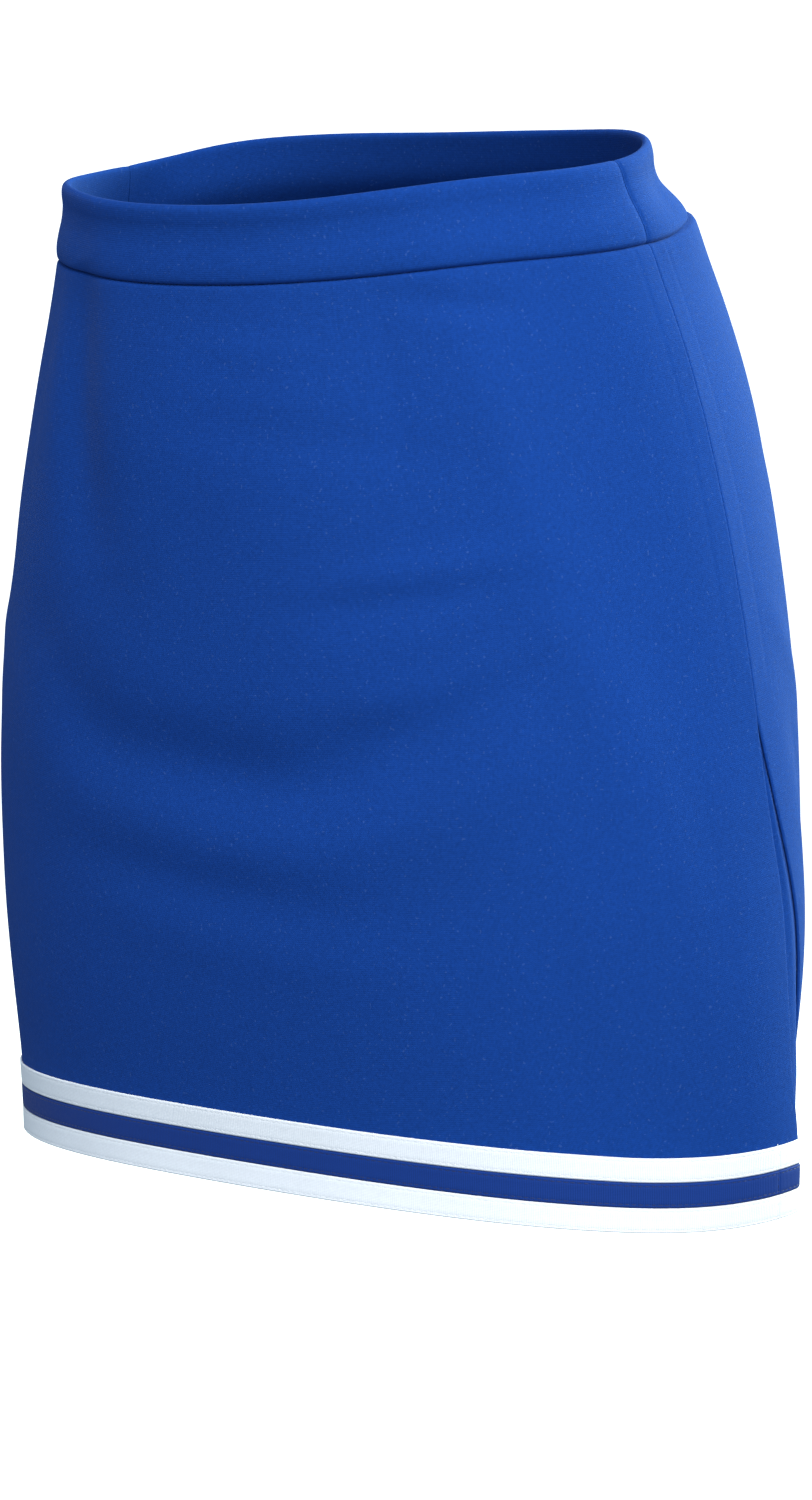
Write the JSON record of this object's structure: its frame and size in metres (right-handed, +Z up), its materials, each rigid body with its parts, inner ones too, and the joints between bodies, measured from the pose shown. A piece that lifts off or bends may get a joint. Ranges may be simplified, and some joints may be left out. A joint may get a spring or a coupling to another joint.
{
  "type": "cheerleader skirt",
  "caption": "Short fitted A-line cheerleader skirt with an elastic waistband, a kick pleat low on one side and striped braid round the hem, filled out as worn.",
  "frame": {"origin": "on the axis of the waist, level with the top of the waistband at centre front, where the wearer's waist holds the skirt up", "axes": "+Z up through the waist, the front faces -Y, the wearer's left side and the kick pleat are towards +X"},
  "size_m": [0.3779, 0.2371, 0.4226],
  "materials": {
    "cloth": "royal blue polyester double knit, smooth face with a faint sheen",
    "braid_white": "white flat-knitted braid",
    "braid_blue": "royal blue flat-knitted braid, a little darker than the cloth"
  },
  "bodies": {
    "root": {"front_panel": "cloth", "back_panel": "cloth", "pleat_underlay": "cloth", "waistband_front": "cloth", "waistband_back": "cloth", "braid_upper_front": "braid_white", "braid_middle_front": "braid_blue", "braid_hem_front": "braid_white", "braid_upper_back": "braid_white", "braid_middle_back": "braid_blue", "braid_hem_back": "braid_white", "braid_upper_pleat": "braid_white", "braid_middle_pleat": "braid_blue", "braid_hem_pleat": "braid_white"}
  },
  "joints": []
}
